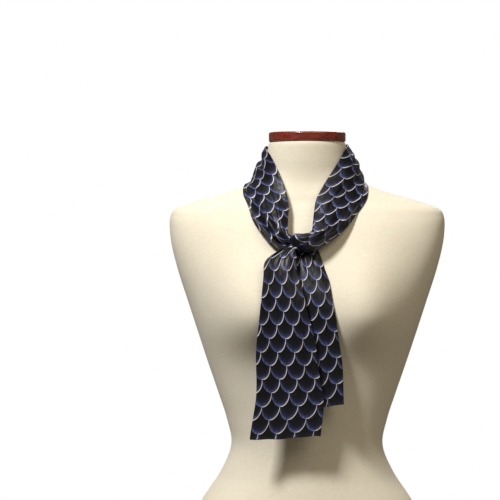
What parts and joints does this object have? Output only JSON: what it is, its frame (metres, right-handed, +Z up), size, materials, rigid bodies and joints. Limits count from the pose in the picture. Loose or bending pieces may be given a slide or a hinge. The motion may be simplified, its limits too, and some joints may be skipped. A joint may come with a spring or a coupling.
{
  "type": "silk scarf on a limbless dress form",
  "caption": "Long printed silk scarf knotted once at the throat of a standing limbless linen dress form, its two ends hanging down the front.",
  "frame": {"origin": "middle of the flat underside, below the centre of the part's box", "axes": "+Z up through the neck cap, -Y towards the front where the scarf hangs, +X to the viewer's right"},
  "size_m": [0.3804, 0.2488, 0.732],
  "materials": {
    "linen": "matt woven linen",
    "mahogany": "gloss varnish",
    "silk": "satin, printed"
  },
  "bodies": {
    "root": {"form_body": "linen", "form_neck_cap": "mahogany", "scarf_neck_left": "silk", "scarf_neck_back": "silk", "scarf_neck_right": "silk", "scarf_knot": "silk", "scarf_tail_front": "silk", "scarf_tail_back": "silk"}
  },
  "joints": []
}
